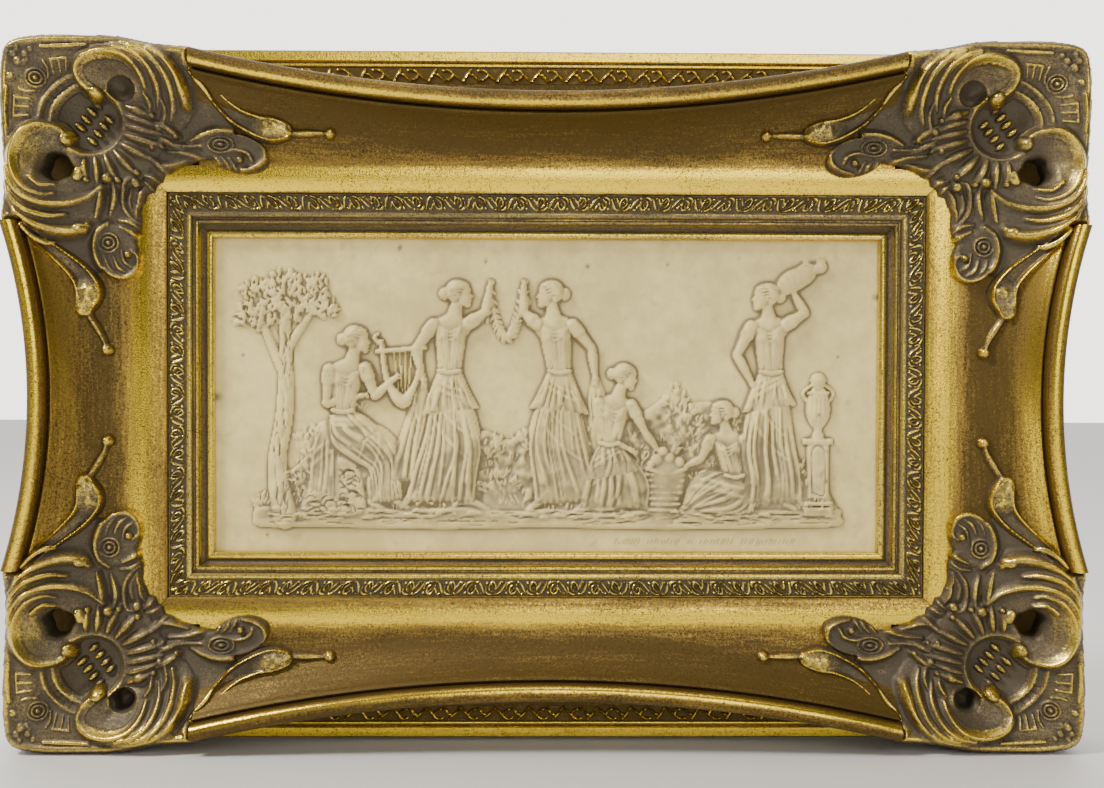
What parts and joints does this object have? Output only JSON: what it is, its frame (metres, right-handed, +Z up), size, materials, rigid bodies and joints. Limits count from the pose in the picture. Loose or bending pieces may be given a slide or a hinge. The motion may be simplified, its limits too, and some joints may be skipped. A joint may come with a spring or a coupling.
{
  "type": "framed marble relief plaque",
  "caption": "Cast marble wall plaque with a classical low relief, in a mitred liner and a swept gilded frame with pierced rococo corner ornaments.",
  "frame": {"origin": "middle of the top rail's back face, where the plaque hangs against the wall", "axes": "+X to the right seen from the front, +Y into the wall, +Z up; the carved front faces -Y"},
  "size_m": [0.5238, 0.0538, 0.3448],
  "materials": {
    "cast_marble": "smooth matt cast marble, toned darker in the hollows",
    "gilded_moulding": "brushed antique gold over brown",
    "gilded_casting": "cast resin, rubbed gold over umber",
    "gilded_liner": "burnished gold with an umber-toned leaf band"
  },
  "bodies": {
    "root": {"plaque": "cast_marble", "liner_top": "gilded_liner", "liner_left": "gilded_liner", "liner_bottom": "gilded_liner", "liner_right": "gilded_liner", "rail_top": "gilded_moulding", "rail_left": "gilded_moulding", "rail_bottom": "gilded_moulding", "rail_right": "gilded_moulding", "corner_top_left": "gilded_casting", "corner_top_right": "gilded_casting", "corner_bottom_left": "gilded_casting", "corner_bottom_right": "gilded_casting"}
  },
  "joints": []
}
